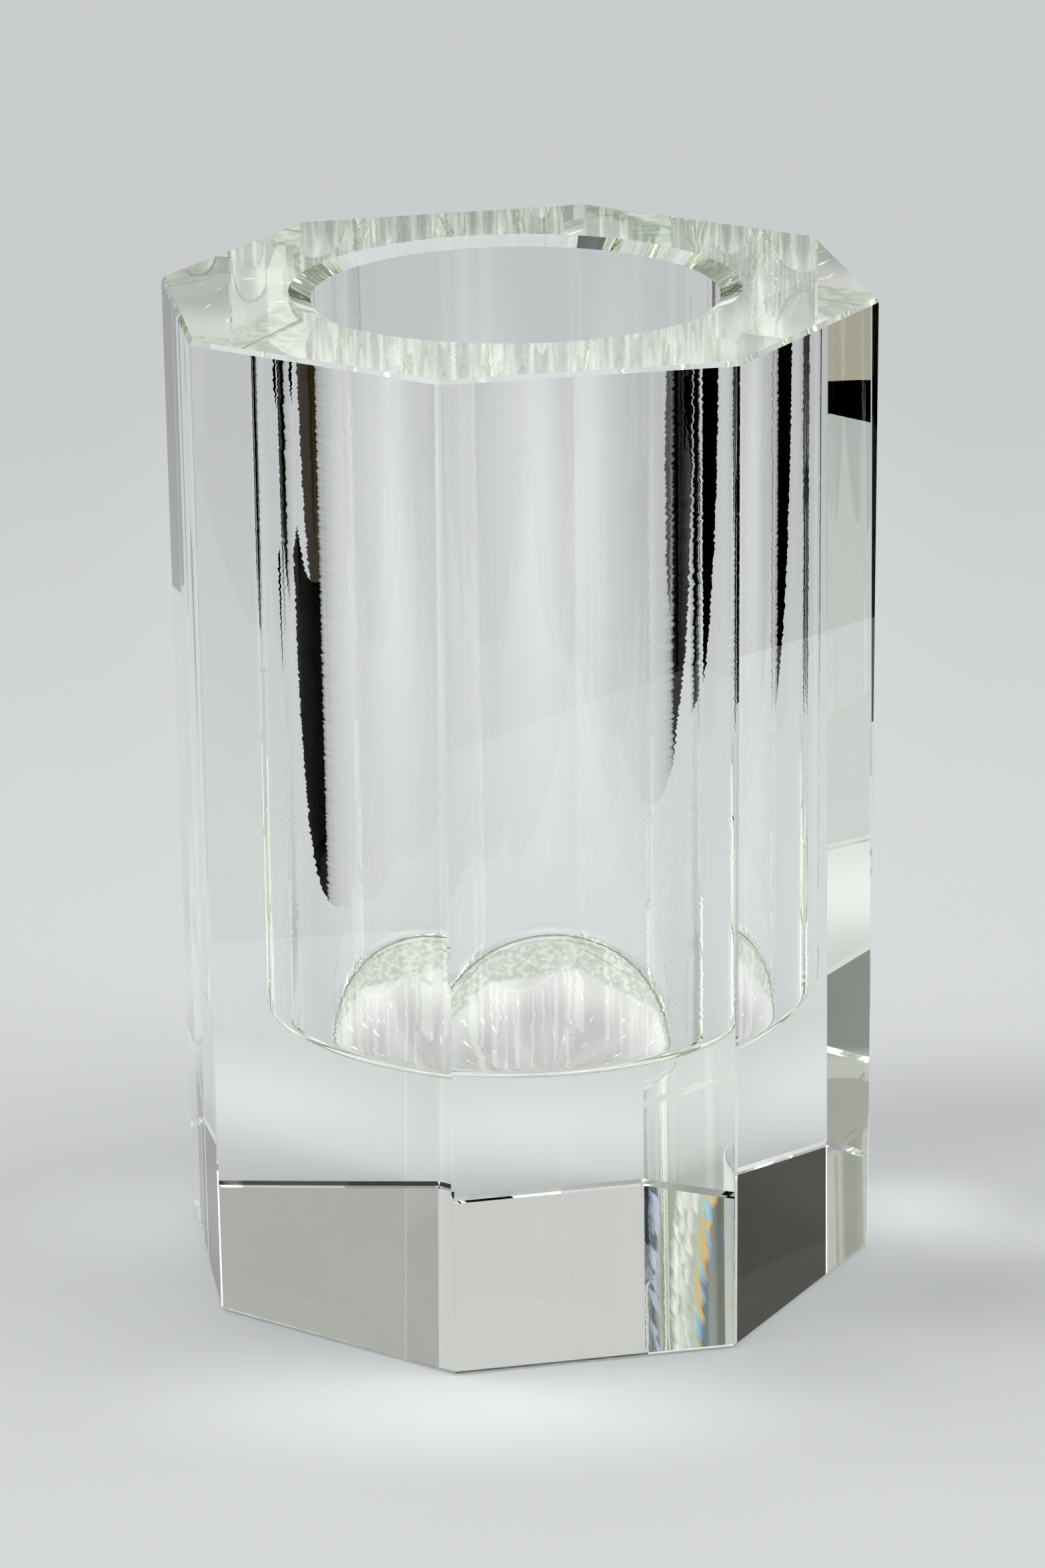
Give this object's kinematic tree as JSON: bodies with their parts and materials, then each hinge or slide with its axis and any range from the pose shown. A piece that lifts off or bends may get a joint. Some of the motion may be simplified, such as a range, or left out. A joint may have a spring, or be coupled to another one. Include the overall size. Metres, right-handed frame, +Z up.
{
  "type": "glass candlestick",
  "caption": "Solid clear crystal candlestick: a tall octagonal prism with a deep round candle bore, a flared bore mouth and thinly bevelled edges.",
  "frame": {"origin": "centre of the flat base, on the axis of the candle bore", "axes": "+Z up along the bore's axis; one facet faces -Y and one faces +X"},
  "size_m": [0.1022, 0.1001, 0.15],
  "materials": {
    "optical_glass": "polished clear optical crystal"
  },
  "bodies": {
    "root": {"crystal_block": "optical_glass"}
  },
  "joints": []
}
